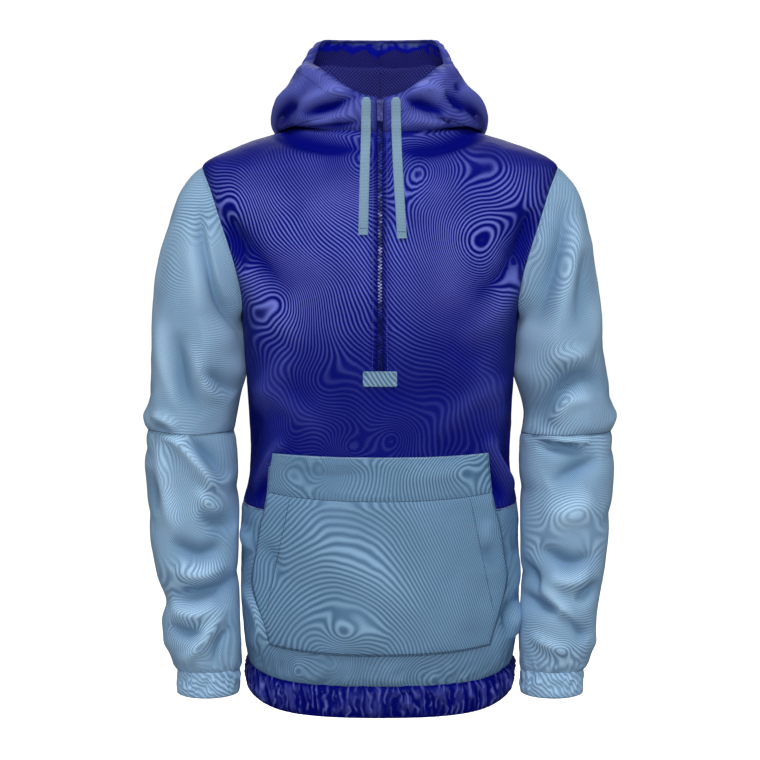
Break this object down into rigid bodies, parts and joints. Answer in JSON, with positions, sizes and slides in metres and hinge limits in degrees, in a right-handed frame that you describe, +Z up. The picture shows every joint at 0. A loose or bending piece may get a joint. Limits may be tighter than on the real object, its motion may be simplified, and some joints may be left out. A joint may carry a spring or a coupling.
{
  "type": "half-zip hooded sweatshirt",
  "caption": "Hooded half-zip pullover in two colours, standing in the hollow form it has when worn, with set-in sleeves, kangaroo pocket, flat drawcords and gathered hem band.",
  "frame": {"origin": "middle of the neck base, on the centre plane between the shoulder seams' neck ends", "axes": "+Z up, -Y towards the front, +X towards the sleeve on the right as seen from the front"},
  "size_m": [0.5613, 0.2921, 0.7893],
  "materials": {
    "royal_cloth": "matt fine twill knit",
    "light_cloth": "matt fine twill knit",
    "cord": "matt flat woven cord",
    "zip_tape": "matt woven tape",
    "zip_teeth": "satin",
    "zip_metal": "satin paint"
  },
  "bodies": {
    "garment": {"front_upper": "royal_cloth", "back_upper": "royal_cloth", "hem_band": "royal_cloth", "hood_left": "royal_cloth", "hood_right": "royal_cloth", "front_lower": "light_cloth", "back_lower": "light_cloth", "sleeve_upper_left": "light_cloth", "sleeve_upper_right": "light_cloth", "sleeve_lower_left": "light_cloth", "sleeve_lower_right": "light_cloth", "cuff_left": "light_cloth", "cuff_right": "light_cloth", "pocket_panel": "light_cloth", "pocket_band": "light_cloth", "zip_patch": "light_cloth", "drawcord_left": "cord", "drawcord_right": "cord", "zip_tape_left": "zip_tape", "zip_tape_right": "zip_tape", "zip_chain": "zip_teeth", "zip_slider": "zip_metal"},
    "pull": {"zip_pull": "zip_metal"}
  },
  "joints": [
    {"name": "pull_swing", "type": "hinge", "parent": "garment", "child": "pull", "pos_m": [0, -0.08671, 0.028], "axis": [-1, 0, 0], "range_deg": [0, 150]}
  ]
}
